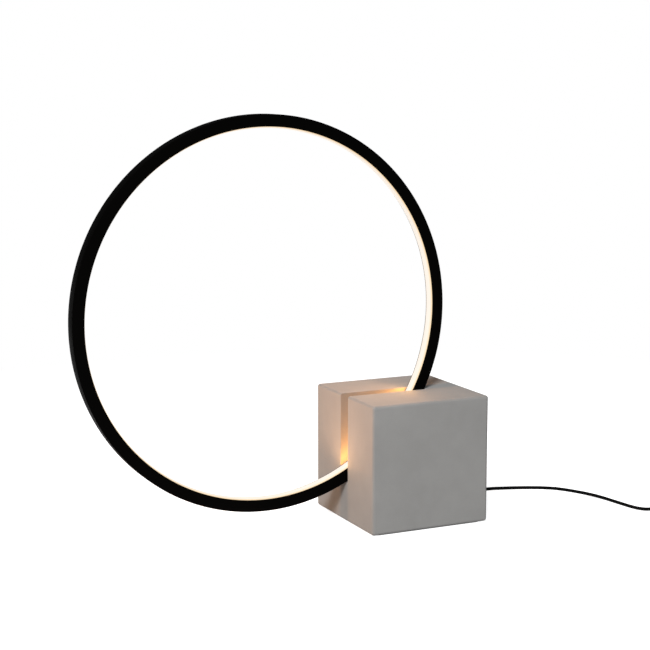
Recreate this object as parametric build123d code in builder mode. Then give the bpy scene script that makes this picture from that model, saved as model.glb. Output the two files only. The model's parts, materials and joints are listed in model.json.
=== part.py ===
from build123d import *
import os
from math import cos, pi, radians, sin, sqrt, tan

# LED ring lamp standing through a slotted concrete cube, with its cord, inline switch and adapter.
# Millimetres. +Z is up and the table is z = 0. The origin is the middle of the underside, on the table.
# +X is the side that the cord leaves from, and the ring stands in the XZ plane.

# ---------------------------------------------------------------- driving dimensions
block_side = 120.0
pad_thickness = 1.0
block_edge_radius = 2.5
slot_width = 15.0
slot_rim_radius = 0.6

ring_outer_radius = 180.0
ring_offset = 80.0  # the ring's centre lies this far left of and above the block's upper left edge
ring_depth = 11.0
ring_width = 13.0
ring_web = 1.5
ring_flange = 0.8
ring_corner_radius = 0.6
seam_angle = -45.0  # the channel's butt joint, deepest in the block
seam_gap = 0.2  # degrees
seat_thickness = 1.0
seat_arc = 34.0

diffuser_back_radius = 172.5
dome_height = 1.5
diffuser_width = 11.3

strip_width = 8.0
strip_thickness = 0.3
strip_arc = 332.0  # the rest is left free for the splice and the feed wires
led_count = 66
led_side = 5.0
led_height = 1.6

splice_arc = 18.0
splice_width = 9.2
splice_thickness = 1.3
ring_screw_step = 6.0  # degrees each side of the seam

# M3 screws and their brass inserts
screw_radius = 1.45
clearance_radius = 1.7
insert_radius = 2.3
insert_bore_radius = 1.55
socket_head_radius = 2.7
socket_head_height = 1.9
ring_insert_length = 7.5
plate_insert_length = 8.0

recess_length = 96.0
recess_width = 44.0
recess_ceiling = 25.0
plate_length = 110.0
plate_width = 64.0
plate_thickness = 1.5
base_screw_x = 49.5
base_screw_y = 27.0

terminal_x = -7.0
terminal_length, terminal_width, terminal_height = 14.0, 17.0, 11.0
terminal_insert_radius = 2.1
terminal_insert_length = 6.0
terminal_screw_radius = 1.3

wire_bore_x = -40.6
wire_bore_radius = 3.5
ring_hole_radius = 3.0
ring_hole_bottom = 44.0
ring_hole_height = 14.0
seat_hole_radius = 2.0
wire_radius = 0.6
wire_spread = 0.9

cord_radius = 1.6
cord_exit_height = 13.5
gland_radius = 4.0
gland_flange_radius = 7.5
gland_flange_thickness = 2.2
gland_tip_x = 78.0
fit_gap = 0.05

switch_x = 272.0
switch_y = -103.0
switch_length = 46.0
switch_width = 18.0
switch_height = 13.0
switch_split = 5.5
switch_wall = 1.5
rocker_tilt = 6.0
relief_length = 10.0

coil_x = 335.0
coil_y = -81.5
coil_mean_radius = 17.0
coil_bundle = 12.8

adapter_x = 365.0
adapter_near_y = -23.0
adapter_length = 58.0
adapter_width = 38.0
adapter_height = 28.0
adapter_split = 16.0
adapter_wall = 2.0
adapter_inlet_height = 8.0
pin_radius = 2.0
pin_spacing = 18.6
pin_length = 19.0

# ---------------------------------------------------------------- derived places
block_bottom = pad_thickness
block_top = block_bottom + block_side
block_face = block_side / 2
ring_x = -block_face - ring_offset
ring_z = block_top + ring_offset
ring_inner_radius = ring_outer_radius - ring_depth
web_inner_radius = ring_outer_radius - ring_web
slot_radius = ring_outer_radius + seat_thickness
strip_inner_radius = web_inner_radius - strip_thickness
splice_inner_radius = web_inner_radius - splice_thickness
ring_head_radius = splice_inner_radius - fit_gap
strip_start = seam_angle + (360 - strip_arc) / 2
plate_top = block_bottom + plate_thickness
screw_angles = (seam_angle - ring_screw_step, seam_angle + ring_screw_step)
relief_tip = switch_length / 2 + relief_length

ring_plane = Plane(origin=(ring_x, 0, ring_z), x_dir=(1, 0, 0), z_dir=(0, -1, 0))
ring_axis = Axis((ring_x, 0, ring_z), (0, -1, 0))
ON_PLANE = (Align.CENTER, Align.CENTER, Align.MIN)
BELOW_PLANE = (Align.CENTER, Align.CENTER, Align.MAX)


def section_plane(angle):
    """Plane through the ring's axis at a polar angle: local x is the radius, local y is +Y."""
    c, s = cos(radians(angle)), sin(radians(angle))
    return Plane(origin=(ring_x, 0, ring_z), x_dir=(c, 0, s), z_dir=(-s, 0, c))


def radial_plane(angle, radius):
    """Plane square to the ring's radius at a polar angle, facing outwards."""
    c, s = cos(radians(angle)), sin(radians(angle))
    origin = (ring_x + radius * c, 0, ring_z + radius * s)
    return Plane(origin=origin, x_dir=(0, 1, 0), z_dir=(c, 0, s))


def ring_point(angle, radius, y=0.0):
    """Point of the ring's own frame in the model's frame."""
    return (ring_x + radius * cos(radians(angle)), y, ring_z + radius * sin(radians(angle)))


def corner_radii(route, share=0.45):
    """The largest arcs that a route's runs leave room for, one for each inner point."""
    radii = []
    for before, corner, after in zip(route, route[1:], route[2:]):
        inward = Vector(*corner) - Vector(*before)
        outward = Vector(*after) - Vector(*corner)
        half_turn = radians(inward.get_angle(outward)) / 2
        radii.append(share * min(inward.length, outward.length) / tan(half_turn))
    return radii


def ribbed_boot(start, tip, root_radius, tip_radius, ribs):
    """Half outline of a tapered strain relief along local x, from its root to its tip."""
    step = (tip - start) / (2 * ribs + 1)
    outline = []
    for n in range(2 * ribs + 1):
        share = n / (2 * ribs)
        radius = root_radius + (tip_radius - root_radius) * share
        if n % 2:
            radius -= 0.5
        outline.append((start + n * step, radius))
        outline.append((start + (n + 1) * step, radius))
    return outline


def slot_rim(block):
    """The edges round the slot's mouth on the block's left and top faces."""
    rim = []
    for edge in block.edges():
        middle = edge.center()
        outside = middle.X < 1 - block_face or middle.Z > block_top - 1
        if outside and abs(abs(middle.Y) - slot_width / 2) < 0.01:
            rim.append(edge)
    return rim


# ---------------------------------------------------------------- concrete block
with BuildPart() as concrete_block:
    with BuildSketch(Plane.XY.offset(block_bottom)):
        Rectangle(block_side, block_side)
    extrude(amount=block_side)
    fillet(concrete_block.edges(), block_edge_radius)
    with BuildSketch(ring_plane.offset(-slot_width / 2)):
        Circle(slot_radius)
    extrude(amount=slot_width, mode=Mode.SUBTRACT)
    fillet(slot_rim(concrete_block), slot_rim_radius)
    with BuildSketch(Plane.XY.offset(block_bottom)):
        RectangleRounded(plate_length + 1, plate_width + 1, 5)
    extrude(amount=plate_thickness, mode=Mode.SUBTRACT)
    with BuildSketch(Plane.XY.offset(block_bottom)):
        RectangleRounded(recess_length, recess_width, 6)
    extrude(amount=recess_ceiling - block_bottom, mode=Mode.SUBTRACT)
    # bore for the feed wires, from the recess up to the slot's floor
    with BuildSketch(Plane.XY.offset(recess_ceiling - 1)):
        with Locations((wire_bore_x, 0)):
            Circle(wire_bore_radius)
    extrude(amount=34, mode=Mode.SUBTRACT)
    # bore for the cord gland through the right wall
    with BuildSketch(Plane.YZ.offset(recess_length / 2 - 1)):
        with Locations((0, cord_exit_height)):
            Circle(gland_radius + fit_gap)
    extrude(amount=block_face - recess_length / 2 + 2, mode=Mode.SUBTRACT)
    # seats of the threaded inserts
    for angle in screw_angles:
        with BuildSketch(radial_plane(angle, slot_radius - 1)):
            Circle(insert_radius)
        extrude(amount=ring_insert_length + 1.5, mode=Mode.SUBTRACT)
    with BuildSketch(Plane.XY.offset(plate_top - 0.5)):
        with GridLocations(2 * base_screw_x, 2 * base_screw_y, 2, 2):
            Circle(insert_radius)
    extrude(amount=plate_insert_length + 1.5, mode=Mode.SUBTRACT)
    with BuildSketch(Plane.XY.offset(recess_ceiling - 1)):
        with Locations((terminal_x, 0)):
            Circle(terminal_insert_radius)
    extrude(amount=terminal_insert_length + 2, mode=Mode.SUBTRACT)
concrete_block.part.label = "concrete_block"

# ---------------------------------------------------------------- base
with BuildPart() as base_plate:
    with BuildSketch(Plane.XY.offset(block_bottom)):
        RectangleRounded(plate_length, plate_width, 4.5)
    extrude(amount=plate_thickness)
    with Locations((0, 0, block_bottom)):
        with GridLocations(2 * base_screw_x, 2 * base_screw_y, 2, 2):
            Cylinder(1.6, plate_thickness, align=ON_PLANE, mode=Mode.SUBTRACT)
            Cone(3.1, 1.6, plate_thickness, align=ON_PLANE, mode=Mode.SUBTRACT)
base_plate.part.label = "base_plate"

with BuildPart() as base_pad:
    with BuildSketch(Plane.XY):
        RectangleRounded(block_side - 8, block_side - 8, 6)
        with GridLocations(2 * base_screw_x, 2 * base_screw_y, 2, 2):
            Circle(4.2, mode=Mode.SUBTRACT)
    extrude(amount=pad_thickness)
base_pad.part.label = "base_pad"

with BuildPart() as base_screws:
    with Locations((0, 0, block_bottom + 0.1)):
        with GridLocations(2 * base_screw_x, 2 * base_screw_y, 2, 2):
            Cone(2 * screw_radius, screw_radius, screw_radius, align=ON_PLANE)
            Cylinder(screw_radius, 8.5, align=ON_PLANE)
            Box(3.2, 0.7, 0.8, align=ON_PLANE, mode=Mode.SUBTRACT)
            Box(0.7, 3.2, 0.8, align=ON_PLANE, mode=Mode.SUBTRACT)
base_screws.part.label = "base_screws"

with BuildPart() as plate_inserts:
    with BuildSketch(Plane.XY.offset(plate_top)):
        with GridLocations(2 * base_screw_x, 2 * base_screw_y, 2, 2):
            Circle(insert_radius)
            Circle(insert_bore_radius, mode=Mode.SUBTRACT)
    extrude(amount=plate_insert_length)
plate_inserts.part.label = "plate_inserts"

# ---------------------------------------------------------------- ring
half_ring = ring_width / 2
half_cavity = half_ring - ring_flange
with BuildPart() as ring_channel:
    with BuildSketch(section_plane(seam_angle + seam_gap / 2)):
        with BuildLine():
            Polyline(
                (ring_inner_radius, -half_ring),
                (ring_outer_radius, -half_ring),
                (ring_outer_radius, half_ring),
                (ring_inner_radius, half_ring),
                (ring_inner_radius, half_cavity),
                (web_inner_radius, half_cavity),
                (web_inner_radius, -half_cavity),
                (ring_inner_radius, -half_cavity),
                close=True,
            )
        profile = make_face()
        outwards = Axis((0, 0, 0), section_plane(seam_angle).x_dir)
        fillet(profile.vertices().group_by(outwards)[-1], ring_corner_radius)
    revolve(axis=ring_axis, revolution_arc=360 - seam_gap)
    for angle in screw_angles:
        with BuildSketch(radial_plane(angle, web_inner_radius - 1)):
            Circle(clearance_radius)
        extrude(amount=ring_web + 2, mode=Mode.SUBTRACT)
    with BuildSketch(Plane.XY.offset(ring_hole_bottom)):
        with Locations((wire_bore_x, 0)):
            Circle(ring_hole_radius)
    extrude(amount=ring_hole_height, mode=Mode.SUBTRACT)
ring_channel.part.label = "ring_channel"

with BuildPart() as ring_seat:
    with BuildSketch(section_plane(seam_angle - seat_arc / 2)):
        with Locations((ring_outer_radius + seat_thickness / 2, 0)):
            Rectangle(seat_thickness, ring_width)
    revolve(axis=ring_axis, revolution_arc=seat_arc)
    for angle in screw_angles:
        with BuildSketch(radial_plane(angle, ring_outer_radius - 1)):
            Circle(clearance_radius)
        extrude(amount=seat_thickness + 2, mode=Mode.SUBTRACT)
    with BuildSketch(Plane.XY.offset(ring_hole_bottom)):
        with Locations((wire_bore_x, 0)):
            Circle(seat_hole_radius)
    extrude(amount=ring_hole_height, mode=Mode.SUBTRACT)
ring_seat.part.label = "ring_seat"

with BuildPart() as ring_splice:
    with BuildSketch(section_plane(seam_angle - splice_arc / 2)):
        with Locations((web_inner_radius - splice_thickness / 2, 0)):
            Rectangle(splice_thickness, splice_width)
    revolve(axis=ring_axis, revolution_arc=splice_arc)
    for angle in screw_angles:
        with BuildSketch(radial_plane(angle, splice_inner_radius - 1)):
            Circle(clearance_radius)
        extrude(amount=splice_thickness + 2, mode=Mode.SUBTRACT)
ring_splice.part.label = "ring_splice"

with BuildPart() as ring_screws:
    for angle in screw_angles:
        with BuildSketch(radial_plane(angle, ring_head_radius)):
            Circle(socket_head_radius)
        extrude(amount=-socket_head_height)
        with BuildSketch(radial_plane(angle, ring_head_radius)):
            Circle(screw_radius)
        extrude(amount=10)
        with BuildSketch(radial_plane(angle, ring_head_radius - socket_head_height)):
            RegularPolygon(1.25, 6)
        extrude(amount=1.1, mode=Mode.SUBTRACT)
ring_screws.part.label = "ring_screws"

with BuildPart() as ring_inserts:
    for angle in screw_angles:
        with BuildSketch(radial_plane(angle, slot_radius)):
            Circle(insert_radius)
            Circle(insert_bore_radius, mode=Mode.SUBTRACT)
        extrude(amount=ring_insert_length)
ring_inserts.part.label = "ring_inserts"

with BuildPart() as led_strip:
    with BuildSketch(section_plane(strip_start)):
        with Locations((web_inner_radius - strip_thickness / 2, 0)):
            Rectangle(strip_thickness, strip_width)
    revolve(axis=ring_axis, revolution_arc=strip_arc)
led_strip.part.label = "led_strip"

led_step = strip_arc / led_count
with BuildPart() as led_chips:
    with BuildSketch(ring_plane.offset(-led_side / 2)):
        with PolarLocations(
            strip_inner_radius - led_height / 2 - fit_gap,
            led_count,
            start_angle=strip_start + led_step / 2,
            angular_range=strip_arc,
        ):
            Rectangle(led_height, led_side)
    extrude(amount=led_side)
led_chips.part.label = "led_chips"

with BuildPart() as light_diffuser:
    half_diffuser = diffuser_width / 2
    with BuildSketch(section_plane(0)):
        with BuildLine():
            Polyline(
                (ring_inner_radius, -half_diffuser),
                (diffuser_back_radius, -half_diffuser),
                (diffuser_back_radius, half_diffuser),
                (ring_inner_radius, half_diffuser),
            )
            ThreePointArc(
                (ring_inner_radius, half_diffuser),
                (ring_inner_radius - dome_height, 0),
                (ring_inner_radius, -half_diffuser),
            )
        make_face()
    revolve(axis=ring_axis)
light_diffuser.part.label = "light_diffuser"

# ---------------------------------------------------------------- wiring inside the block
terminal_bottom = recess_ceiling - terminal_height
pole_y = 4.2
pole_height = recess_ceiling - 6.0
clamp_x = 4.0
feed_radius = strip_inner_radius - wire_radius - fit_gap
wire_turn_height = ring_z - sqrt(feed_radius**2 - (wire_bore_x - ring_x) ** 2)
feed_radii = [1.6, 4, 4]


def feed_route(side):
    """A feed wire from the strip's end, down the bore, to its pole of the terminal body."""
    return [
        ring_point(seam_angle - 15, feed_radius, side * wire_spread),
        (wire_bore_x, side * wire_spread, wire_turn_height),
        (wire_bore_x, side * wire_spread, pole_height),
        (terminal_x - 12, side * pole_y, pole_height - 1.5),
        (terminal_x - 2.5, side * pole_y, pole_height),
    ]


with BuildPart() as feed_wire_red:
    with BuildLine() as red_line:
        FilletPolyline(*feed_route(1), radius=feed_radii)
    with BuildSketch(Plane(red_line.line @ 0, z_dir=red_line.line % 0)):
        Circle(wire_radius)
    sweep(path=red_line.line)
feed_wire_red.part.label = "feed_wire_red"

with BuildPart() as feed_wire_black:
    with BuildLine() as black_line:
        FilletPolyline(*feed_route(-1), radius=feed_radii)
    with BuildSketch(Plane(black_line.line @ 0, z_dir=black_line.line % 0)):
        Circle(wire_radius)
    sweep(path=black_line.line)
feed_wire_black.part.label = "feed_wire_black"

with BuildPart() as terminal_body:
    with BuildSketch(Plane.XY.offset(terminal_bottom)):
        with Locations((terminal_x, 0)):
            RectangleRounded(terminal_length, terminal_width, 1.2)
    extrude(amount=terminal_height)
    with BuildSketch(Plane.YZ.offset(terminal_x - terminal_length / 2)):
        with Locations((-pole_y, pole_height), (pole_y, pole_height)):
            Circle(1.9)
    extrude(amount=terminal_length, mode=Mode.SUBTRACT)
    with BuildSketch(Plane.XY.offset(terminal_bottom)):
        with Locations((terminal_x, 0)):
            with GridLocations(2 * clamp_x, 2 * pole_y, 2, 2):
                Circle(1.3)
    extrude(amount=pole_height - terminal_bottom, mode=Mode.SUBTRACT)
    with BuildSketch(Plane.XY.offset(terminal_bottom)):
        with Locations((terminal_x, 0)):
            Circle(terminal_screw_radius + 0.3)
    extrude(amount=terminal_height, mode=Mode.SUBTRACT)
terminal_body.part.label = "terminal_body"

with BuildPart() as terminal_barrels:
    with BuildSketch(Plane.YZ.offset(terminal_x - terminal_length / 2 + 1)):
        with Locations((-pole_y, pole_height), (pole_y, pole_height)):
            Circle(1.9)
            Circle(1.1, mode=Mode.SUBTRACT)
    extrude(amount=terminal_length - 2)
    with BuildSketch(Plane.XY.offset(terminal_bottom)):
        with Locations((terminal_x, 0)):
            with GridLocations(2 * clamp_x, 2 * pole_y, 2, 2):
                Circle(1.0)
    extrude(amount=pole_height - terminal_bottom, mode=Mode.SUBTRACT)
terminal_barrels.part.label = "terminal_barrels"

with BuildPart() as terminal_clamp_screws:
    with BuildSketch(Plane.XY.offset(terminal_bottom + 0.6)):
        with Locations((terminal_x, 0)):
            with GridLocations(2 * clamp_x, 2 * pole_y, 2, 2):
                Circle(0.95)
    extrude(amount=pole_height - terminal_bottom - 1.5)
    with BuildSketch(Plane.XY.offset(terminal_bottom + 0.6)):
        with Locations((terminal_x, 0)):
            with GridLocations(2 * clamp_x, 2 * pole_y, 2, 2):
                Rectangle(1.5, 0.4)
    extrude(amount=0.5, mode=Mode.SUBTRACT)
terminal_clamp_screws.part.label = "terminal_clamp_screws"

with BuildPart() as terminal_screw:
    with Locations((terminal_x, 0, terminal_bottom)):
        Cylinder(2.6, 1.8, align=BELOW_PLANE)
        Cylinder(terminal_screw_radius, terminal_height + 5.5, align=ON_PLANE)
    with Locations((terminal_x, 0, terminal_bottom - 1.8)):
        Box(0.8, 4, 0.9, align=ON_PLANE, mode=Mode.SUBTRACT)
terminal_screw.part.label = "terminal_screw"

with BuildPart() as terminal_insert:
    with BuildSketch(Plane.XY.offset(recess_ceiling)):
        with Locations((terminal_x, 0)):
            Circle(terminal_insert_radius)
            Circle(terminal_screw_radius + 0.1, mode=Mode.SUBTRACT)
    extrude(amount=terminal_insert_length)
terminal_insert.part.label = "terminal_insert"

# ---------------------------------------------------------------- cord gland
gland_plane = Plane(origin=(0, 0, cord_exit_height), x_dir=(1, 0, 0), z_dir=(0, -1, 0))
gland_line_axis = Axis((0, 0, cord_exit_height), (1, 0, 0))
nut_thickness = 4.0
gland_inner_x = recess_length / 2 - nut_thickness - 1
with BuildPart() as cord_gland:
    with BuildSketch(gland_plane):
        with BuildLine():
            Polyline(
                (gland_inner_x, 0),
                (gland_inner_x, gland_radius),
                (block_face, gland_radius),
                (block_face, gland_flange_radius),
                (block_face + gland_flange_thickness, gland_flange_radius),
                *ribbed_boot(block_face + gland_flange_thickness, gland_tip_x, 4.2, 2.3, 3),
                (gland_tip_x, 0),
                close=True,
            )
        make_face()
    revolve(axis=gland_line_axis)
cord_gland.part.label = "cord_gland"

with BuildPart() as gland_nut:
    with BuildSketch(Plane.YZ.offset(recess_length / 2 - nut_thickness)):
        with Locations((0, cord_exit_height)):
            RegularPolygon(gland_flange_radius, 6)
            Circle(gland_radius + fit_gap, mode=Mode.SUBTRACT)
    extrude(amount=nut_thickness)
gland_nut.part.label = "gland_nut"

tail_end_x = 22.0
tail_route = [
    (gland_inner_x, 0, cord_exit_height),
    (34.0, 0, cord_exit_height),
    (tail_end_x, 0, cord_exit_height + 3.5),
]
with BuildPart() as cord_tail:
    with BuildLine() as tail_line:
        FilletPolyline(*tail_route, radius=15)
    with BuildSketch(Plane(tail_line.line @ 0, z_dir=tail_line.line % 0)):
        Circle(cord_radius)
    sweep(path=tail_line.line)
cord_tail.part.label = "cord_tail"

with BuildPart() as tail_cores:
    for side in (-1, 1):
        core_route = [
            (tail_end_x, side * 0.7, cord_exit_height + 3.5),
            (tail_end_x - 5, side * 1.6, cord_exit_height + 4.3),
            (terminal_x + 12, side * pole_y, pole_height - 0.6),
            (terminal_x + 2.5, side * pole_y, pole_height),
        ]
        with BuildLine() as core_line:
            FilletPolyline(*core_route, radius=corner_radii(core_route))
        with BuildSketch(Plane(core_line.line @ 0, z_dir=core_line.line % 0)):
            Circle(wire_radius)
        sweep(path=core_line.line)
tail_cores.part.label = "tail_cores"

# ---------------------------------------------------------------- free cord
lamp_route = [
    (gland_tip_x, 0, cord_exit_height),
    (96, 0, cord_exit_height),
    (112, -2.5, 12.9),
    (126, -6, 12.6),
    (139.5, -9, 11.9),
    (152.5, -11, 10.8),
    (165, -13.5, 9.4),
    (175.5, -17, 7.6),
    (185, -21.5, 5.8),
    (193.5, -27, 4.2),
    (200, -33.5, 2.9),
    (204.5, -42, 2.0),
    (207, -53, 1.6),
    (208.8, -64.5, 1.6),
    (210.5, -76, 1.6),
    (212.8, -85.5, 1.7),
    (217, -94, 2.2),
    (223.5, -100.3, 3.7),
    (231.5, switch_y, switch_split),
    (switch_x - relief_tip, switch_y, switch_split),
]
coil_route = [
    (switch_x + relief_tip, switch_y, switch_split),
    (switch_x + relief_tip + 7, switch_y, switch_split),
    (coil_x - 16, switch_y - 0.3, 2.4),
    (coil_x - 8, switch_y, cord_radius),
]
adapter_route = [
    (coil_x + 22.5, coil_y + 9, 9.5),
    (coil_x + 24.5, coil_y + 18, 8.0),
    (coil_x + 28.5, coil_y + 27, 7.2),
    (adapter_x, coil_y + 34, adapter_inlet_height),
    (adapter_x, adapter_near_y - 13, adapter_inlet_height),
]


def report_tube(name, route, line, part):
    """Prints a cord's arc radii, its length, and its volume beside section times length."""
    radii = corner_radii(route)
    length = sum(edge.length for edge in line.edges())
    print(name, "radii", [round(r, 1) for r in radii], "length", round(length, 1))
    print(name, "volume", round(part.volume, 1), "section x length", round(pi * cord_radius**2 * length, 1))


with BuildPart() as cord_to_switch:
    with BuildLine() as lamp_line:
        FilletPolyline(*lamp_route, radius=corner_radii(lamp_route))
    with BuildSketch(Plane(lamp_line.line @ 0, z_dir=lamp_line.line % 0)):
        Circle(cord_radius)
    sweep(path=lamp_line.line)
cord_to_switch.part.label = "cord_to_switch"
report_tube("cord_to_switch", lamp_route, lamp_line.line, cord_to_switch.part)

with BuildPart() as cord_to_coil:
    with BuildLine() as coil_line:
        FilletPolyline(*coil_route, radius=corner_radii(coil_route))
    with BuildSketch(Plane(coil_line.line @ 0, z_dir=coil_line.line % 0)):
        Circle(cord_radius)
    sweep(path=coil_line.line)
cord_to_coil.part.label = "cord_to_coil"
report_tube("cord_to_coil", coil_route, coil_line.line, cord_to_coil.part)

coil_axis = Axis((coil_x, coil_y, 0), (0, 0, 1))
coil_section = Plane(origin=(coil_x, coil_y, coil_bundle / 2), x_dir=(1, 0, 0), z_dir=(0, -1, 0))
with BuildPart() as cord_coil:
    with BuildSketch(coil_section):
        with Locations((coil_mean_radius, 0)):
            RectangleRounded(coil_bundle, coil_bundle, 1.5)
    revolve(axis=coil_axis)
cord_coil.part.label = "cord_coil"

tie_section = Plane(origin=(coil_x, coil_y, 0), x_dir=(-1, 0, 0), z_dir=(0, 1, 0))
tie_inner = coil_mean_radius - coil_bundle / 2 - 0.8
tie_outer = coil_mean_radius + coil_bundle / 2 + 0.8
with BuildPart() as coil_tie:
    with BuildSketch(tie_section):
        with BuildLine():
            Polyline(
                (tie_inner, 0.3),
                (tie_inner, coil_bundle + 0.8),
                (tie_outer, coil_bundle + 0.8),
                (tie_outer, 0.3),
                (tie_outer - 0.75, 0.3),
                (tie_outer - 0.75, coil_bundle + 0.05),
                (tie_inner + 0.75, coil_bundle + 0.05),
                (tie_inner + 0.75, 0.3),
                close=True,
            )
        make_face()
    revolve(axis=coil_axis, revolution_arc=20)
coil_tie.part.label = "coil_tie"

with BuildPart() as cord_to_adapter:
    with BuildLine() as adapter_line:
        FilletPolyline(*adapter_route, radius=corner_radii(adapter_route))
    with BuildSketch(Plane(adapter_line.line @ 0, z_dir=adapter_line.line % 0)):
        Circle(cord_radius)
    sweep(path=adapter_line.line)
cord_to_adapter.part.label = "cord_to_adapter"
report_tube("cord_to_adapter", adapter_route, adapter_line.line, cord_to_adapter.part)

# ---------------------------------------------------------------- inline switch
switch_plane = Plane(origin=(switch_x, switch_y, 0), x_dir=(1, 0, 0), z_dir=(0, 0, 1))
switch_side = Plane(origin=(switch_x, switch_y, switch_split), x_dir=(1, 0, 0), z_dir=(0, -1, 0))
switch_line_axis = Axis((switch_x, switch_y, switch_split), (1, 0, 0))
switch_inside = (switch_length - 2 * switch_wall, switch_width - 2 * switch_wall)
switch_screw_places = [(-15.5, 4.6), (15.5, -4.6)]
notch_radius = 2.5
collar_radius = 3.2
pivot_height = 9.2
contact_top = 6.4
rocker_half_length = 7.2
rocker_half_width = 4.6

with BuildPart() as switch_base:
    with BuildSketch(switch_plane):
        RectangleRounded(switch_length, switch_width, 5)
    extrude(amount=switch_split)
    fillet(switch_base.faces().sort_by(Axis.Z)[0].edges(), 1.2)
    with BuildSketch(switch_plane.offset(switch_wall)):
        RectangleRounded(*switch_inside, 3.5)
    extrude(amount=switch_height, mode=Mode.SUBTRACT)
    with BuildSketch(switch_plane.offset(switch_wall - 0.1)):
        with Locations(*switch_screw_places):
            Circle(2.2)
    extrude(amount=switch_split - switch_wall + 0.1)
    with BuildSketch(switch_plane):
        with Locations(*switch_screw_places):
            Circle(1.1)
    extrude(amount=switch_split, mode=Mode.SUBTRACT)
    with BuildSketch(switch_plane):
        with Locations(*switch_screw_places):
            Circle(2.0)
    extrude(amount=1.2, mode=Mode.SUBTRACT)
    with BuildSketch(Plane.YZ.offset(switch_x - switch_length / 2)):
        with Locations((switch_y, switch_split)):
            Circle(notch_radius)
    extrude(amount=switch_length, mode=Mode.SUBTRACT)
switch_base.part.label = "switch_base"

with BuildPart() as switch_cover:
    with BuildSketch(switch_plane.offset(switch_split)):
        RectangleRounded(switch_length, switch_width, 5)
    extrude(amount=switch_height - switch_split)
    fillet(switch_cover.faces().sort_by(Axis.Z)[-1].edges(), 2)
    with BuildSketch(switch_plane.offset(switch_split)):
        RectangleRounded(*switch_inside, 3.5)
    extrude(amount=switch_height - switch_split - switch_wall, mode=Mode.SUBTRACT)
    with BuildSketch(switch_plane.offset(switch_split)):
        with Locations(*switch_screw_places):
            Circle(2.2)
    extrude(amount=switch_height - switch_split - switch_wall)
    with BuildSketch(switch_plane.offset(switch_split)):
        with Locations(*switch_screw_places):
            Circle(0.9)
    extrude(amount=4, mode=Mode.SUBTRACT)
    # lugs that hold the rocker's pin
    lug_width = switch_inside[1] / 2 - 5.0
    with BuildSketch(switch_plane.offset(pivot_height - 2.2)):
        with GridLocations(0, 2 * (5.0 + lug_width / 2), 1, 2):
            Rectangle(4.4, lug_width + 0.2)
    extrude(amount=switch_height - switch_wall - pivot_height + 2.3)
    with BuildSketch(switch_plane.offset(switch_height - switch_wall - 0.5)):
        Rectangle(16, 2 * rocker_half_width + 0.5)
    extrude(amount=switch_wall + 1, mode=Mode.SUBTRACT)
    with BuildSketch(Plane.XZ.offset(-switch_y - 7.0)):
        with Locations((switch_x, pivot_height)):
            Circle(0.8)
    extrude(amount=14, mode=Mode.SUBTRACT)
    with BuildSketch(Plane.YZ.offset(switch_x - switch_length / 2)):
        with Locations((switch_y, switch_split)):
            Circle(notch_radius)
    extrude(amount=3, mode=Mode.SUBTRACT)
    with BuildSketch(Plane.YZ.offset(switch_x + switch_length / 2 - 3)):
        with Locations((switch_y, switch_split)):
            Circle(notch_radius)
    extrude(amount=3, mode=Mode.SUBTRACT)
switch_cover.part.label = "switch_cover"

# The rocker rests in its "on" stop, tilted so that its +X end is pressed in.
tilt_cos, tilt_sin = cos(radians(rocker_tilt)), sin(radians(rocker_tilt))
rocker_plane = Plane(
    origin=(switch_x, switch_y, pivot_height), x_dir=(tilt_cos, 0, -tilt_sin), z_dir=(0, -1, 0)
)
with BuildPart() as switch_rocker:
    with BuildSketch(rocker_plane.offset(-rocker_half_width)):
        with BuildLine():
            Polyline(
                (-rocker_half_length, 4.6),
                (-rocker_half_length, 2.0),
                (-3.0, -1.8),
                (3.0, -1.8),
                (rocker_half_length, 2.0),
                (rocker_half_length, 4.6),
            )
            ThreePointArc((rocker_half_length, 4.6), (0, 3.4), (-rocker_half_length, 4.6))
        make_face()
        Circle(0.85, mode=Mode.SUBTRACT)
    extrude(amount=2 * rocker_half_width)
switch_rocker.part.label = "switch_rocker"

with BuildPart() as rocker_contact:
    with BuildSketch(rocker_plane.offset(-1.5)):
        with Locations((0, -2.0)):
            Rectangle(7.0, 0.4)
    extrude(amount=3)
rocker_contact.part.label = "rocker_contact"

with BuildPart() as rocker_pin:
    with BuildSketch(Plane.XZ.offset(-switch_y - 6.9)):
        with Locations((switch_x, pivot_height)):
            Circle(0.8)
    extrude(amount=13.8)
rocker_pin.part.label = "rocker_pin"

with BuildPart() as switch_contacts:
    for side in (-1, 1):
        with BuildSketch(switch_side.offset(-1.5)):
            with BuildLine():
                Polyline(
                    (side * 3.2, switch_wall - switch_split),
                    (side * 12.0, switch_wall - switch_split),
                    (side * 12.0, switch_wall - switch_split + 0.5),
                    (side * 3.7, switch_wall - switch_split + 0.5),
                    (side * 3.7, contact_top - switch_split),
                    (side * 3.2, contact_top - switch_split),
                    close=True,
                )
            make_face()
        extrude(amount=3)
switch_contacts.part.label = "switch_contacts"

with BuildPart() as switch_screws:
    with BuildSketch(switch_plane.offset(0.15)):
        with Locations(*switch_screw_places):
            Circle(1.8)
    extrude(amount=1.05)
    with BuildSketch(switch_plane.offset(1.0)):
        with Locations(*switch_screw_places):
            Circle(0.85)
    extrude(amount=8.5)
    with BuildSketch(switch_plane.offset(0.15)):
        with Locations(*switch_screw_places):
            Rectangle(2.2, 0.5)
            Rectangle(0.5, 2.2)
    extrude(amount=0.5, mode=Mode.SUBTRACT)
switch_screws.part.label = "switch_screws"

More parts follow.
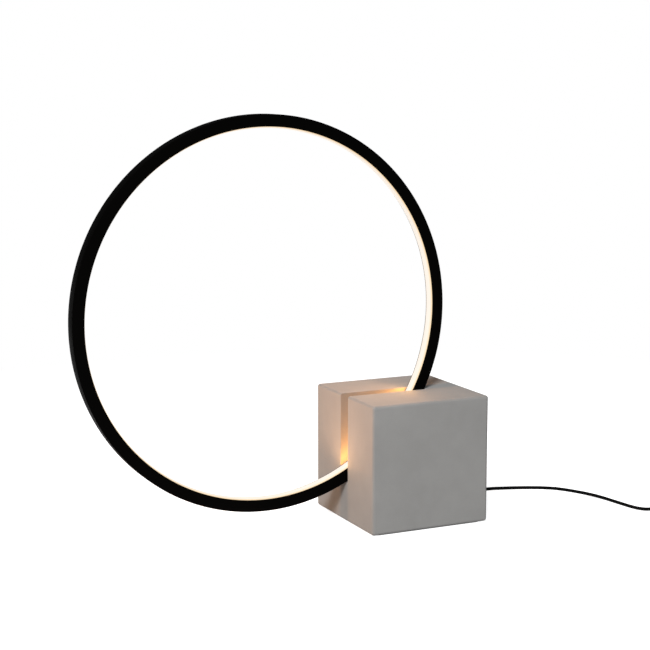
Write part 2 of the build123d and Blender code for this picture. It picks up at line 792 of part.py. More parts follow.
relief_outline = [
    (switch_length / 2 - 3.6, 0),
    (switch_length / 2 - 3.6, collar_radius),
    (switch_length / 2 - switch_wall, collar_radius),
    (switch_length / 2 - switch_wall, notch_radius),
    (switch_length / 2, notch_radius),
    *ribbed_boot(switch_length / 2, relief_tip, 3.0, 1.9, 2),
    (relief_tip, 0),
]
with BuildPart() as switch_outlet_relief:
    with BuildSketch(switch_side):
        with BuildLine():
            Polyline(*relief_outline, close=True)
        make_face()
    revolve(axis=switch_line_axis)
switch_outlet_relief.part.label = "switch_outlet_relief"

with BuildPart() as switch_inlet_relief:
    with BuildSketch(switch_side):
        with BuildLine():
            Polyline(*[(-x, r) for x, r in relief_outline], close=True)
        make_face()
    revolve(axis=switch_line_axis)
switch_inlet_relief.part.label = "switch_inlet_relief"

# ---------------------------------------------------------------- plug-in adapter, lying on its front
adapter_centre_y = adapter_near_y + adapter_length / 2
adapter_plane = Plane(origin=(adapter_x, adapter_centre_y, 0), x_dir=(1, 0, 0), z_dir=(0, 0, 1))
adapter_inside = (adapter_width - 2 * adapter_wall, adapter_length - 2 * adapter_wall)
inlet_place = (adapter_x, adapter_near_y, adapter_inlet_height)
inlet_plane = Plane(origin=inlet_place, x_dir=(0, -1, 0), z_dir=(1, 0, 0))
inlet_axis = Axis(inlet_place, (0, -1, 0))
inlet_radius = 2.8
board_width, board_length, board_shift, board_height = 30.0, 44.0, 3.0, 4.0

with BuildPart() as adapter_case:
    with BuildSketch(adapter_plane):
        RectangleRounded(adapter_width, adapter_length, 6)
    extrude(amount=adapter_split)
    fillet(adapter_case.faces().sort_by(Axis.Z)[0].edges(), 2.5)
    with BuildSketch(adapter_plane.offset(adapter_wall)):
        RectangleRounded(*adapter_inside, 4)
    extrude(amount=adapter_split, mode=Mode.SUBTRACT)
    with BuildSketch(Plane.XZ.offset(-adapter_near_y)):
        with Locations((adapter_x, adapter_inlet_height)):
            Circle(inlet_radius)
    extrude(amount=-adapter_wall, mode=Mode.SUBTRACT)
    # posts that carry the board
    with BuildSketch(adapter_plane.offset(adapter_wall - 0.1)):
        with Locations((0, board_shift)):
            with GridLocations(board_width - 6, board_length - 6, 2, 2):
                Circle(2)
    extrude(amount=board_height - adapter_wall + 0.1)
adapter_case.part.label = "adapter_case"

with BuildPart() as adapter_cover:
    with BuildSketch(adapter_plane.offset(adapter_split)):
        RectangleRounded(adapter_width, adapter_length, 6)
    extrude(amount=adapter_height - adapter_split)
    fillet(adapter_cover.faces().sort_by(Axis.Z)[-1].edges(), 2.5)
    with BuildSketch(adapter_plane.offset(adapter_split)):
        RectangleRounded(*adapter_inside, 4)
    extrude(amount=adapter_height - adapter_split - adapter_wall, mode=Mode.SUBTRACT)
    with BuildSketch(adapter_plane.offset(adapter_height - adapter_wall)):
        with GridLocations(pin_spacing, 0, 2, 1):
            Circle(pin_radius + 0.5)
    extrude(amount=adapter_wall, mode=Mode.SUBTRACT)
adapter_cover.part.label = "adapter_cover"

with BuildPart() as plug_pins:
    with BuildSketch(adapter_plane.offset(adapter_height - 6)):
        with GridLocations(pin_spacing, 0, 2, 1):
            Circle(pin_radius + 0.5)
    extrude(amount=6)
    with BuildSketch(adapter_plane.offset(adapter_height)):
        with GridLocations(pin_spacing, 0, 2, 1):
            Circle(pin_radius)
    extrude(amount=pin_length)
    fillet(plug_pins.faces().group_by(Axis.Z)[-1].edges(), 1.2)
plug_pins.part.label = "plug_pins"

with BuildPart() as adapter_relief:
    with BuildSketch(inlet_plane):
        with BuildLine():
            Polyline(
                (-adapter_wall - 2, 0),
                (-adapter_wall - 2, 3.8),
                (-adapter_wall, 3.8),
                (-adapter_wall, inlet_radius),
                (0, inlet_radius),
                *ribbed_boot(0, 13, 3.4, 2.0, 3),
                (13, 0),
                close=True,
            )
        make_face()
    revolve(axis=inlet_axis)
adapter_relief.part.label = "adapter_relief"

board_plane = adapter_plane.offset(board_height)
with BuildPart() as adapter_board:
    with BuildSketch(board_plane):
        with Locations((0, board_shift)):
            RectangleRounded(board_width, board_length, 1)
    extrude(amount=1.6)
adapter_board.part.label = "adapter_board"

with BuildPart() as adapter_transformer:
    with BuildSketch(board_plane.offset(1.6)):
        with Locations((0, 0)):
            RectangleRounded(18, 16, 1.5)
    extrude(amount=13)
adapter_transformer.part.label = "adapter_transformer"

with BuildPart() as adapter_capacitors:
    with BuildSketch(board_plane.offset(1.6)):
        with Locations((-8, 17), (6, 16)):
            Circle(4)
    extrude(amount=11)
    with BuildSketch(board_plane.offset(1.6)):
        with Locations((8, -13)):
            Circle(3)
    extrude(amount=9)
adapter_capacitors.part.label = "adapter_capacitors"

# ---------------------------------------------------------------- export
pieces = [
    concrete_block, base_plate, base_pad, base_screws, plate_inserts,
    ring_channel, ring_seat, ring_splice, ring_screws, ring_inserts,
    led_strip, led_chips, light_diffuser, feed_wire_red, feed_wire_black,
    terminal_body, terminal_barrels, terminal_clamp_screws, terminal_screw, terminal_insert,
    cord_gland, gland_nut, cord_tail, tail_cores,
    cord_to_switch, cord_to_coil, cord_coil, coil_tie, cord_to_adapter,
    switch_base, switch_cover, switch_rocker, rocker_contact, rocker_pin,
    switch_contacts, switch_screws, switch_inlet_relief, switch_outlet_relief,
    adapter_case, adapter_cover, plug_pins, adapter_relief,
    adapter_board, adapter_transformer, adapter_capacitors,
]
os.makedirs("parts", exist_ok=True)
for piece in pieces:
    export_step(piece.part, f"parts/{piece.part.label}.step")
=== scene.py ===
"""Looks of the ring table lamp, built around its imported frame. Metres, +Z up, the cord leaves towards +X."""

import json
from math import cos, pi, radians, sin, sqrt

import bmesh
import bpy
from mathutils import Matrix, Vector


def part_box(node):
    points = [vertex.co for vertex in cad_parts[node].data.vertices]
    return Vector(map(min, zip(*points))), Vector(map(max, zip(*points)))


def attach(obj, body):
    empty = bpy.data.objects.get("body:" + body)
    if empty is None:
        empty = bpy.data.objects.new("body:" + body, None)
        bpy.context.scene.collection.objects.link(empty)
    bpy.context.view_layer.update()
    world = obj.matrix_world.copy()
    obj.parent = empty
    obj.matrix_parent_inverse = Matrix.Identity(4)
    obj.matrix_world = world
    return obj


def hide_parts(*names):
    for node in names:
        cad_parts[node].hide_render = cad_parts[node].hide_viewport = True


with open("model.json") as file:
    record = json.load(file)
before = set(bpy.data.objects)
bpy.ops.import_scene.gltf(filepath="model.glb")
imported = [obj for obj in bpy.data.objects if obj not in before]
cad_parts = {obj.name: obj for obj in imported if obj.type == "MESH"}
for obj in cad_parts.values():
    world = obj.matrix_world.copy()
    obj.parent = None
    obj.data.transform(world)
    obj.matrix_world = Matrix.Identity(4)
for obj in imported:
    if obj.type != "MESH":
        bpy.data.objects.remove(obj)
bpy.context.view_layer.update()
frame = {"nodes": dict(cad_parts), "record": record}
nodes = frame["nodes"]
scene = bpy.context.scene

MM = 0.001

# ---------------------------------------------------------------- camera
CAMERA_TARGET = Vector((-0.0797, 0.0, 0.1881))
CAMERA_AZIMUTH = radians(-25.11)
CAMERA_ELEVATION = radians(9.17)
CAMERA_DISTANCE = 1.4755
CAMERA_LENS = 89.1


def direction(azimuth, elevation):
    """Unit vector from the object towards an eye at that azimuth and elevation."""
    flat = cos(elevation)
    return Vector((sin(azimuth) * flat, -cos(azimuth) * flat, sin(elevation)))


def make_camera():
    """The camera, aimed at its target from its azimuth, elevation and distance."""
    data = bpy.data.cameras.new("camera")
    data.lens = CAMERA_LENS
    camera = bpy.data.objects.new("camera", data)
    back = direction(CAMERA_AZIMUTH, CAMERA_ELEVATION)
    camera.location = CAMERA_TARGET + back * CAMERA_DISTANCE
    camera.rotation_euler = (-back).to_track_quat("-Z", "Y").to_euler()
    scene.collection.objects.link(camera)
    scene.camera = camera


make_camera()

# ---------------------------------------------------------------- cords
CORD_DIAMETER = 0.0032
SWITCH_AXIS_HEIGHT = 0.0055
SWITCH_Y = -0.103

# from the gland's tip to the switch, falling onto the table
LAMP_ROUTE = [
    (0.078, 0, 0.0135),
    (0.096, 0, 0.0135),
    (0.112, -0.0025, 0.0129),
    (0.126, -0.006, 0.0126),
    (0.1395, -0.009, 0.0119),
    (0.1525, -0.011, 0.0108),
    (0.165, -0.0135, 0.0094),
    (0.1755, -0.017, 0.0076),
    (0.185, -0.0215, 0.0058),
    (0.1935, -0.027, 0.0042),
    (0.2, -0.0335, 0.0029),
    (0.2045, -0.042, 0.002),
    (0.207, -0.053, 0.0016),
    (0.2088, -0.0645, 0.0016),
    (0.2105, -0.076, 0.0016),
    (0.2128, -0.0855, 0.0017),
    (0.217, -0.094, 0.0022),
    (0.2235, -0.1003, 0.0037),
    (0.2315, SWITCH_Y, SWITCH_AXIS_HEIGHT),
    (0.239, SWITCH_Y, SWITCH_AXIS_HEIGHT),
]
# from the switch to the coil
COIL_ROUTE = [
    (0.305, SWITCH_Y, SWITCH_AXIS_HEIGHT),
    (0.312, SWITCH_Y, SWITCH_AXIS_HEIGHT),
    (0.319, -0.1033, 0.0024),
    (0.327, SWITCH_Y, 0.0016),
]
# from the coil to the adapter's strain relief
ADAPTER_ROUTE = [
    (0.3575, -0.0725, 0.0095),
    (0.3595, -0.0635, 0.008),
    (0.3635, -0.0545, 0.0072),
    (0.365, -0.0475, 0.008),
    (0.365, -0.036, 0.008),
]
COIL_CENTRE = Vector((0.335, -0.0815, 0))
COIL_RADII = [0.0218, 0.0186, 0.0154, 0.0122]
COIL_LAYERS = 3
POINTS_A_TURN = 24
CROSSOVER_SHARE = 0.2  # the share of a turn in which it steps to the next one
LAST_RADIUS = COIL_RADII[0] + MM  # the turn over the top stands out a little
LEAVING_STEPS = 6  # how many steps of a turn it then follows before it leaves the coil


def coil_turns():
    """Control points of the wound turns: layer on layer, inwards and outwards by turns."""
    widen = 1 / cos(pi / POINTS_A_TURN)  # the spline runs inside its control points
    places = []
    for layer in range(COIL_LAYERS):
        radii = COIL_RADII if layer % 2 == 0 else COIL_RADII[::-1]
        places += [(radius, (layer + 0.5) * CORD_DIAMETER) for radius in radii]
    top = (COIL_LAYERS + 0.5) * CORD_DIAMETER
    places += [(COIL_RADII[3], top), (COIL_RADII[2], top), (LAST_RADIUS, top)]
    points = []
    for turn, (radius, height) in enumerate(places[:-1]):
        next_radius, next_height = places[turn + 1]
        for step in range(POINTS_A_TURN):
            share = step / POINTS_A_TURN
            cross = max(0.0, share - 1 + CROSSOVER_SHARE) / CROSSOVER_SHARE
            r = (radius + (next_radius - radius) * cross) * widen
            z = height + (next_height - height) * cross
            angle = 2 * pi * share - pi / 2
            points.append(COIL_CENTRE + Vector((r * cos(angle), r * sin(angle), z)))
    # the last part of a turn runs out over the top, towards the adapter
    for step in range(LEAVING_STEPS):
        angle = 2 * pi * step / POINTS_A_TURN - pi / 2
        r = LAST_RADIUS * widen
        points.append(COIL_CENTRE + Vector((r * cos(angle), r * sin(angle), top)))
    return points


def make_cord(name, points):
    """A round cord along one smooth spline."""
    data = bpy.data.curves.new(name, "CURVE")
    data.dimensions = "3D"
    data.bevel_depth = 1.0  # each point's own radius is the cord's
    data.bevel_resolution = 5
    data.resolution_u = 8
    data.use_fill_caps = True
    spline = data.splines.new("NURBS")
    spline.points.add(len(points) - 1)
    for point, place in zip(spline.points, points):
        point.co = (*place, 1)
        point.radius = CORD_DIAMETER / 2
    spline.order_u = 3
    spline.use_endpoint_u = True
    cord = bpy.data.objects.new(name, data)
    scene.collection.objects.link(cord)
    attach(cord, "lamp")
    return cord


lamp_cord = make_cord("lamp_cord", LAMP_ROUTE)
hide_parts("cord_to_switch")
adapter_cord = make_cord("adapter_cord", COIL_ROUTE + coil_turns() + ADAPTER_ROUTE)
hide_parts("cord_to_coil", "cord_coil", "cord_to_adapter")

# ---------------------------------------------------------------- ring
RING_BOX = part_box("ring_channel")
RING_CENTRE = (RING_BOX[0] + RING_BOX[1]) / 2
RING_OUTER = 0.18
RING_INNER = 0.169
RING_HALF_WIDTH = 0.0065
RING_FLANGE = 0.0008
RING_WEB = 0.0015
RING_CORNER = 0.0006
RIM_ROUNDING = 0.00025
DIFFUSER_HALF_WIDTH = 0.00565
DIFFUSER_BACK = 0.1725
DOME_HEIGHT = 0.0015
DOME_STEPS = 16
RING_STEPS = 960
SHARP_ANGLE = radians(50)


def corner(radius, y, size, outwards, upwards, steps=4):
    """Profile points round a convex corner, from its face along the radius to its face across the ring."""
    points = []
    for n in range(steps + 1):
        angle = pi / 2 * n / steps
        points.append((
            radius - outwards * size * (1 - sin(angle)),
            y - upwards * size * (1 - cos(angle)),
        ))
    return points


def channel_profile():
    """Section of the channel as (radius, y), with every edge slightly rounded."""
    inside = RING_HALF_WIDTH - RING_FLANGE
    half = corner(RING_OUTER, RING_HALF_WIDTH, RING_CORNER, 1, 1)[::-1]
    half += corner(RING_INNER, RING_HALF_WIDTH, RIM_ROUNDING, -1, 1)
    half += corner(RING_INNER, inside, RIM_ROUNDING, -1, -1)[::-1]
    half.append((RING_OUTER - RING_WEB, inside))
    return half + [(radius, -y) for radius, y in half[::-1]]


def diffuser_profile():
    """Section of the silicone as (radius, y): a shallow dome on a flat back."""
    arc = (DIFFUSER_HALF_WIDTH**2 + DOME_HEIGHT**2) / (2 * DOME_HEIGHT)
    points = [(DIFFUSER_BACK, DIFFUSER_HALF_WIDTH)]
    for n in range(DOME_STEPS + 1):
        y = DIFFUSER_HALF_WIDTH * (1 - 2 * n / DOME_STEPS)
        points.append((RING_INNER - DOME_HEIGHT + arc - sqrt(arc**2 - y**2), y))
    points.append((DIFFUSER_BACK, -DIFFUSER_HALF_WIDTH))
    return points


def revolved(name, profile, replaced):
    """A closed section turned round the ring's axis, in fine steps, in place of a node."""
    mesh = bmesh.new()
    rows = []
    for n in range(RING_STEPS):
        angle = 2 * pi * n / RING_STEPS
        outwards = Vector((cos(angle), 0, sin(angle)))
        places = [RING_CENTRE + outwards * radius + Vector((0, y, 0)) for radius, y in profile]
        rows.append([mesh.verts.new(place) for place in places])
    for row, following in zip(rows, rows[1:] + rows[:1]):
        for n in range(len(profile)):
            mesh.faces.new((row[n - 1], row[n], following[n], following[n - 1]))
    bmesh.ops.recalc_face_normals(mesh, faces=mesh.faces)
    data = bpy.data.meshes.new(name)
    mesh.to_mesh(data)
    mesh.free()
    data.shade_smooth()
    data.set_sharp_from_angle(angle=SHARP_ANGLE)
    piece = bpy.data.objects.new(name, data)
    scene.collection.objects.link(piece)
    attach(piece, "lamp")
    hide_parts(replaced)
    return piece


channel_skin = revolved("channel_skin", channel_profile(), "ring_channel")
diffuser_skin = revolved("diffuser_skin", diffuser_profile(), "light_diffuser")

# ---------------------------------------------------------------- material tools


class Shader:
    """A material with a Principled shader, and short calls that add nodes to it."""

    def __init__(self, name, colour, roughness, metallic=0.0, specular=0.5):
        self.material = bpy.data.materials.new(name)
        self.material.use_nodes = True
        self.tree = self.material.node_tree
        self.surface = self.tree.nodes["Principled BSDF"]
        self.set("Base Color", (*colour, 1))
        self.set("Roughness", roughness)
        self.set("Metallic", metallic)
        self.set("Specular IOR Level", specular)
        self.place = self.add("ShaderNodeTexCoord").outputs["Object"]

    def add(self, kind, **values):
        node = self.tree.nodes.new(kind)
        for key, value in values.items():
            setattr(node, key, value)
        return node

    def link(self, source, target):
        self.tree.links.new(source, target)

    def set(self, socket, value):
        self.surface.inputs[socket].default_value = value

    def stretched(self, scale):
        """The object's own coordinates, scaled along each axis."""
        node = self.add("ShaderNodeMapping")
        node.inputs["Scale"].default_value = scale
        self.link(self.place, node.inputs["Vector"])
        return node.outputs["Vector"]

    def noise(self, scale, detail=4.0, roughness=0.55, place=None):
        node = self.add("ShaderNodeTexNoise")
        node.inputs["Scale"].default_value = scale
        node.inputs["Detail"].default_value = detail
        node.inputs["Roughness"].default_value = roughness
        self.link(place or self.place, node.inputs["Vector"])
        return node.outputs["Fac"]

    def dots(self, scale):
        """Distance to the nearest of many scattered points, 0 at each point."""
        node = self.add("ShaderNodeTexVoronoi")
        node.inputs["Scale"].default_value = scale
        self.link(self.place, node.inputs["Vector"])
        return node.outputs["Distance"]

    def ramp(self, value, low, high, start, end):
        """A value between low and high turned into one from start to end, or a colour."""
        node = self.add("ShaderNodeMapRange")
        if isinstance(start, tuple):  # a ramp of colours has sockets of its own
            node.data_type = "FLOAT_VECTOR"
            self.link(value, node.inputs[6])
            node.inputs[7].default_value = (low,) * 3
            node.inputs[8].default_value = (high,) * 3
            node.inputs[9].default_value = start
            node.inputs[10].default_value = end
            return node.outputs[1]
        self.link(value, node.inputs[0])
        for socket, number in zip(node.inputs[1:5], (low, high, start, end)):
            socket.default_value = number
        return node.outputs[0]

    def spread(self, noise, start, end):
        """A noise, which lies mostly between 0.3 and 0.7, turned into a value from start to end."""
        return self.ramp(noise, 0.3, 0.7, start, end)

    def math(self, operation, a, b):
        node = self.add("ShaderNodeMath", operation=operation)
        for socket, value in zip(node.inputs, (a, b)):
            if isinstance(value, (int, float)):
                socket.default_value = value
            else:
                self.link(value, socket)
        return node.outputs[0]

    def tint(self, colour, value):
        """A colour multiplied by a value that changes over the surface."""
        node = self.add("ShaderNodeVectorMath", operation="SCALE")
        if isinstance(colour, tuple):
            node.inputs[0].default_value = colour
        else:
            self.link(colour, node.inputs[0])
        self.link(value, node.inputs["Scale"])
        return node.outputs[0]

    def drive(self, socket, value):
        self.link(value, self.surface.inputs[socket])

    def bump(self, height, distance, strength=1.0, below=None):
        node = self.add("ShaderNodeBump")
        node.inputs["Strength"].default_value = strength
        node.inputs["Distance"].default_value = distance
        self.link(height, node.inputs["Height"])
        if below is not None:
            self.link(below, node.inputs["Normal"])
        return node.outputs["Normal"]


# ---------------------------------------------------------------- materials
CONCRETE_TINT = (0.27, 0.265, 0.257)
SLOT_PAINTED_SHADE = (0.225, 0.175, 0.138)  # painted shade and painted warm light: the slot's walls are painted darker and browner
SLOT_HALF_WIDTH = 0.0075
SLOT_RADIUS = 0.181
SLOT_INSET = 0.0001  # how far inside the slot its painted shade starts to fade
SLOT_BLEND = 0.0007  # how wide the fade is at the mouth
SLOT_FLOOR_BLEND = 0.001  # how wide it is at the curved floor
BLOCK_EDGE = 0.0025
EDGE_PAINTED_SHADE = 0.78  # painted shade: the rounded edges are painted darker, so they don't catch the key light
FOOT_PAINTED_LIGHT = 1.6  # painted light: lifts the edge along the foot, which faces the table and lies in shade
BLOCK_LOW, BLOCK_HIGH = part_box("concrete_block")
BLOCK_MIDDLE = (BLOCK_LOW + BLOCK_HIGH) / 2
BLOCK_HALF = (BLOCK_HIGH.x - BLOCK_LOW.x) / 2


def outside_slot(s, x, y, z):
    """0 on the slot's walls, which get the painted shade and warm light, and 1 on the rest of the block."""
    tint_from = SLOT_HALF_WIDTH - SLOT_INSET
    beside = s.ramp(s.math("ABSOLUTE", y, 0.0), tint_from, tint_from + SLOT_BLEND, 0.0, 1.0)
    across = s.math("SUBTRACT", x, RING_CENTRE.x)
    level = s.math("SUBTRACT", z, RING_CENTRE.z)
    squares = s.math("ADD", s.math("MULTIPLY", across, across), s.math("MULTIPLY", level, level))
    beyond = s.ramp(squares, (SLOT_RADIUS - SLOT_FLOOR_BLEND) ** 2, SLOT_RADIUS**2, 0.0, 1.0)
    return s.math("MAXIMUM", beside, beyond)


def on_edges(s, places):
    """1 on the block's rounded upright and top edges, where the painted shade goes, and 0 on its faces and
    along its foot.
    """
    near = []
    for axis in range(3):
        off = s.math("SUBTRACT", places[axis], BLOCK_MIDDLE[axis])
        if axis < 2:
            off = s.math("ABSOLUTE", off, 0.0)
        near.append(s.ramp(off, BLOCK_HALF - BLOCK_EDGE, BLOCK_HALF - BLOCK_EDGE / 4, 0.0, 1.0))
    side_x, side_y, top = near
    upright = s.math("MULTIPLY", side_x, side_y)
    upper = s.math("MULTIPLY", s.math("MAXIMUM", side_x, side_y), top)
    return s.math("MAXIMUM", upright, upper)


def concrete():
    """Fine cast concrete: cloudy tone, sand grain, waves and a few air holes, with painted shade on the
    rounded edges and on the slot's walls, and painted light on the foot's rounded edge.
    """
    s = Shader("concrete", CONCRETE_TINT, 0.85, specular=0.25)
    clouds = s.noise(16, detail=3)
    patches = s.noise(70, detail=5, roughness=0.6)
    grain = s.noise(1400, detail=2)
    tone = s.math("ADD", s.spread(clouds, 0.955, 1.045), s.spread(patches, -0.035, 0.035))
    tone = s.math("ADD", tone, s.spread(grain, -0.03, 0.03))
    holes = s.ramp(s.dots(150), 0.05, 0.10, 0.0, 1.0)
    holes = s.math("MAXIMUM", holes, s.ramp(clouds, 0.36, 0.40, 0.0, 1.0))
    tone = s.math("MULTIPLY", tone, s.ramp(holes, 0.0, 1.0, 0.8, 1.0))
    split = s.add("ShaderNodeSeparateXYZ")
    s.link(s.place, split.inputs[0])
    # painted shade on the rounded edges, against the key light's highlight
    tone = s.math("MULTIPLY", tone, s.ramp(on_edges(s, split.outputs), 0.0, 1.0, 1.0, EDGE_PAINTED_SHADE))
    # painted light: the rounded edge along the foot is painted paler
    foot = s.math("SUBTRACT", split.outputs["Z"], BLOCK_LOW.z)
    tone = s.math("MULTIPLY", tone, s.ramp(foot, BLOCK_EDGE / 8, BLOCK_EDGE * 0.8, FOOT_PAINTED_LIGHT, 1.0))
    # painted shade and painted warm light: the slot's walls take the darker, browner colour
    colour = s.ramp(outside_slot(s, *split.outputs), 0.0, 1.0, SLOT_PAINTED_SHADE, CONCRETE_TINT)
    s.drive("Base Color", s.tint(colour, tone))
    s.drive("Roughness", s.spread(patches, 0.78, 0.92))
    normal = s.bump(grain, 0.00006)
    normal = s.bump(holes, 0.0003, below=normal)
    s.drive("Normal", s.bump(patches, 0.0002, 0.5, below=normal))
    return s.material


def powder_coat():
    """Matt black powder coat with its fine orange peel."""
    s = Shader("powder_coat", (0.0008, 0.0007, 0.0006), 0.6, specular=0.012)
    peel = s.noise(1800, detail=2)
    s.drive("Roughness", s.spread(s.noise(25, detail=2), 0.48, 0.6))
    s.drive("Normal", s.bump(peel, 0.00004, 0.7))
    return s.material


GLOW = (0.73, 0.715, 0.67)
EDGE_GLOW = (0.72, 0.54, 0.3)  # warmer, because the light comes out at a slant there
EDGE_GLOW_FROM = 0.0032  # metres from the middle of the strip
EDGE_GLOW_TO = 0.0056


def lit_silicone():
    """Opal silicone lit from inside, a little warmer at its edges."""
    s = Shader("lit_silicone", (0.15, 0.14, 0.12), 0.6, specular=0.2)
    split = s.add("ShaderNodeSeparateXYZ")
    s.link(s.place, split.inputs[0])
    across = s.math("ABSOLUTE", split.outputs["Y"], 0.0)
    s.drive("Emission Color", s.ramp(across, EDGE_GLOW_FROM, EDGE_GLOW_TO, GLOW, EDGE_GLOW))
    s.set("Emission Strength", 1.0)
    return s.material


def plastic(name, colour, roughness, grain_depth=0.00003, specular=0.4):
    """Moulded plastic with spark-eroded grain."""
    s = Shader(name, colour, roughness, specular=specular)
    grain = s.noise(2600, detail=2)
    s.drive("Roughness", s.spread(s.noise(60, detail=3), roughness - 0.06, roughness + 0.06))
    s.drive("Normal", s.bump(grain, grain_depth))
    return s.material


def cable_sheath():
    """Black PVC sheath, slightly uneven, with a soft sheen."""
    s = Shader("cable_sheath", (0.003, 0.003, 0.003), 0.6, specular=0.03)
    s.drive("Roughness", s.spread(s.noise(220, detail=3), 0.55, 0.68))
    s.drive("Normal", s.bump(s.noise(900, detail=2), 0.00003))
    return s.material


def rubber():
    """Dull moulded rubber."""
    s = Shader("rubber", (0.012, 0.012, 0.012), 0.75, specular=0.25)
    s.drive("Roughness", s.spread(s.noise(120, detail=3), 0.68, 0.85))
    s.drive("Normal", s.bump(s.noise(1600, detail=3), 0.00004))
    return s.material


def metal(name, colour, roughness, brushed=(1, 1, 1)):
    """Bare metal, with faint marks of its making."""
    s = Shader(name, colour, roughness, metallic=1.0)
    marks = s.noise(700, detail=4, place=s.stretched(brushed))
    s.drive("Roughness", s.spread(marks, max(0.05, roughness - 0.08), roughness + 0.08))
    s.drive("Normal", s.bump(marks, 0.00001))
    return s.material


def circuit_board():
    """Green solder mask over faint copper tracks."""
    s = Shader("circuit_board", (0.02, 0.15, 0.05), 0.35)
    tracks = s.noise(260, detail=1, place=s.stretched((1, 0.3, 1)))
    s.drive("Base Color", s.ramp(tracks, 0.45, 0.55, (0.015, 0.12, 0.04), (0.03, 0.2, 0.07)))
    return s.material


MATERIALS = {
    "concrete": concrete(),
    "black_aluminium": powder_coat(),
    "diffuser": lit_silicone(),
    "led_board": plastic("strip_board", (0.8, 0.8, 0.77), 0.5),
    "led": plastic("led_phosphor", (0.85, 0.65, 0.2), 0.3),
    "black_rubber": rubber(),
    "steel": metal("zinc_steel", (0.56, 0.56, 0.57), 0.35),
    "black_steel": plastic("painted_steel", (0.012, 0.012, 0.012), 0.5),
    "brass": metal("brass", (0.75, 0.55, 0.25), 0.3),
    "cord_black": cable_sheath(),
    "wire_red": plastic("wire_red", (0.45, 0.02, 0.02), 0.4),
    "wire_black": plastic("wire_black", (0.01, 0.01, 0.01), 0.4),
    "terminal": plastic("terminal_nylon", (0.75, 0.74, 0.7), 0.5),
    "case_black": plastic("case_black", (0.01, 0.01, 0.0105), 0.5),
    "rocker_black": plastic("rocker_black", (0.008, 0.008, 0.008), 0.28, grain_depth=0.000008),
    "nickel": metal("nickel", (0.66, 0.63, 0.58), 0.18, brushed=(1, 1, 0.1)),
    "circuit_board": circuit_board(),
    "transformer": plastic("transformer_tape", (0.7, 0.5, 0.06), 0.4),
    "capacitor": metal("capacitor_can", (0.5, 0.5, 0.55), 0.35),
}


def dress(piece, slot):
    """Gives a piece the material of a slot, in place of all that it came with."""
    piece.data.materials.clear()
    piece.data.materials.append(MATERIALS[slot])


for part in frame["record"]["subparts"]:
    dress(nodes[part["node"]], part["material_slot"])
dress(lamp_cord, "cord_black")
dress(adapter_cord, "cord_black")
dress(channel_skin, "black_aluminium")
dress(diffuser_skin, "diffuser")

# ---------------------------------------------------------------- light
LED_LAMPS = 90
LED_GAP = 0.0005  # from the diffuser's crown to its lamps
LED_RADIUS = RING_INNER - DOME_HEIGHT - LED_GAP
LED_WIDTH = 0.010
LED_RADIANCE = 28.5
LED_COLOUR = (1.0, 0.51, 0.245)
NEAR_BLOCK = 0.016  # lamps in the slot, or this near it, light it through the diffuser's warmer edge
NEAR_RADIANCE = 18.0
NEAR_COLOUR = (1.0, 0.49, 0.095)
SIDE_RADIANCE = 19.0
SIDE_LEAN = 1.6  # how much more a side lamp faces the slot's wall than the ring's middle
SIDE_WIDTH = 0.0015
SIDE_RADIUS = RING_INNER - 0.0007
SIDE_Y = 0.0052


def area_light(name, place, towards, width, height, radiance, colour=(1, 1, 1), up=(0, 0, 1)):
    """A rectangular lamp of a given radiance, which isn't seen itself. Its height runs along up."""
    data = bpy.data.lights.new(name, "AREA")
    data.shape = "RECTANGLE"
    data.size = width
    data.size_y = height
    data.energy = radiance * pi * width * height
    data.color = colour
    lamp = bpy.data.objects.new(name, data)
    back = -Vector(towards).normalized()
    across = Vector(up).cross(back).normalized()
    turn = Matrix((across, back.cross(across), back)).transposed()
    lamp.matrix_world = Matrix.Translation(place) @ turn.to_4x4()
    lamp.visible_camera = False
    scene.collection.objects.link(lamp)
    return lamp


def light_ring():
    """What the diffuser gives out: small lamps along its crown, facing inwards, and its sides in the slot."""
    length = 2 * pi * LED_RADIUS / LED_LAMPS
    for n in range(LED_LAMPS):
        angle = 2 * pi * n / LED_LAMPS
        outwards = Vector((cos(angle), 0, sin(angle)))
        along = Vector((-sin(angle), 0, cos(angle)))
        place = RING_CENTRE + outwards * LED_RADIUS
        near = place.x > BLOCK_LOW.x - NEAR_BLOCK and place.z < BLOCK_HIGH.z + NEAR_BLOCK
        radiance, colour = (NEAR_RADIANCE, NEAR_COLOUR) if near else (LED_RADIANCE, LED_COLOUR)
        area_light(f"led_{n:02d}", place, -outwards, LED_WIDTH, length, radiance, colour, along)
        if near:
            for side in (-1, 1):
                sideways = Vector((0, side, 0))
                edge = RING_CENTRE + outwards * SIDE_RADIUS + sideways * SIDE_Y
                lean = sideways * SIDE_LEAN - outwards
                area_light(f"led_{n:02d}_side", edge, lean, SIDE_WIDTH, length, SIDE_RADIANCE, colour, along)


FILL_COLOUR = (0.95, 0.98, 1.0)
FILL_RADIANCE = 0.18
KEY_FROM = Vector((-0.49, -0.59, 0.6))  # from the block towards the key light
KEY_DISTANCE = 3.0
KEY_SIDE = 0.8
KEY_RADIANCE = 54.0
BACK_FROM = Vector((0.68, 0.7, 0.2))
BACK_DISTANCE = 1.6
BACK_SIDE = 1.0
BACK_RADIANCE = 2.0
# what the ring's light on the table sends back up to the block
BOUNCE_PLACE = (-0.19, 0, 0.004)
BOUNCE_TOWARDS = (0.35, 0, 1)
BOUNCE_WIDTH = 0.22
BOUNCE_HEIGHT = 0.2
BOUNCE_COLOUR = (1.0, 0.5, 0.2)
BOUNCE_RADIANCE = 0.5


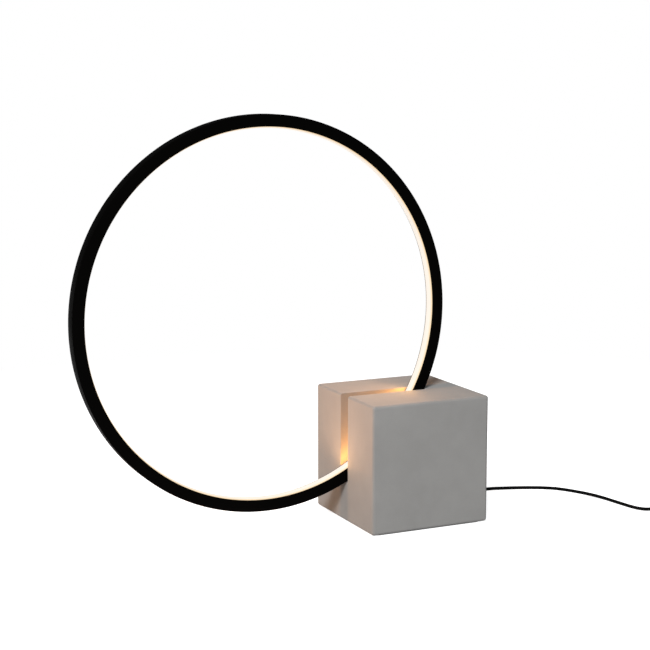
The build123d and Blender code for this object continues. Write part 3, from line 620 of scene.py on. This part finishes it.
def studio():
    """A white surround for the eye, a dim one for the light, a key light, a faint back light and a bounce."""
    world = bpy.data.worlds.new("studio")
    scene.world = world
    world.use_nodes = True
    tree = world.node_tree
    fill = tree.nodes["Background"]
    fill.inputs["Color"].default_value = (*FILL_COLOUR, 1)
    fill.inputs["Strength"].default_value = FILL_RADIANCE
    seen = tree.nodes.new("ShaderNodeBackground")
    seen.inputs["Strength"].default_value = 1.0
    seen.inputs["Color"].default_value = (1, 1, 1, 1)
    ray = tree.nodes.new("ShaderNodeLightPath")
    mix = tree.nodes.new("ShaderNodeMixShader")
    tree.links.new(ray.outputs["Is Camera Ray"], mix.inputs[0])
    tree.links.new(fill.outputs[0], mix.inputs[1])
    tree.links.new(seen.outputs[0], mix.inputs[2])
    tree.links.new(mix.outputs[0], tree.nodes["World Output"].inputs["Surface"])
    area_light("key", BLOCK_MIDDLE + KEY_FROM * KEY_DISTANCE, -KEY_FROM, KEY_SIDE, KEY_SIDE, KEY_RADIANCE)
    back_place = BLOCK_MIDDLE + BACK_FROM * BACK_DISTANCE
    back = area_light("back", back_place, -BACK_FROM, BACK_SIDE, BACK_SIDE, BACK_RADIANCE)
    back.visible_glossy = False  # it would shine off the block's top
    area_light(
        "bounce", BOUNCE_PLACE, BOUNCE_TOWARDS, BOUNCE_WIDTH, BOUNCE_HEIGHT, BOUNCE_RADIANCE, BOUNCE_COLOUR,
        up=(0, 1, 0),
    )


FLOOR_SIZE = 12.0
FLOOR_GLOW = 0.82  # enough to show white under the key light, with no hard shadow
FLOOR_NEAR, FLOOR_FAR = 0.45, 0.9  # where the floor turns into an evenly white surround


def floor():
    """A pale floor with a glow of its own, on which shadows stay faint."""
    bpy.ops.mesh.primitive_plane_add(size=FLOOR_SIZE)
    plane = bpy.context.object
    plane.name = "floor"
    s = Shader("floor", (0.75, 0.75, 0.75), 0.9, specular=0.1)
    s.set("Emission Color", (1, 1, 1, 1))
    s.set("Emission Strength", FLOOR_GLOW)
    length = s.add("ShaderNodeVectorMath", operation="LENGTH")
    s.link(s.place, length.inputs[0])
    white = s.add("ShaderNodeEmission")
    mix = s.add("ShaderNodeMixShader")
    s.link(s.ramp(length.outputs["Value"], FLOOR_NEAR, FLOOR_FAR, 0.0, 1.0), mix.inputs[0])
    s.link(s.surface.outputs[0], mix.inputs[1])
    s.link(white.outputs[0], mix.inputs[2])
    s.link(mix.outputs[0], s.tree.nodes["Material Output"].inputs["Surface"])
    plane.data.materials.append(s.material)
    plane.visible_diffuse = False  # its white doesn't light the lamp from below


light_ring()
studio()
floor()
scene.view_settings.view_transform = "Standard"
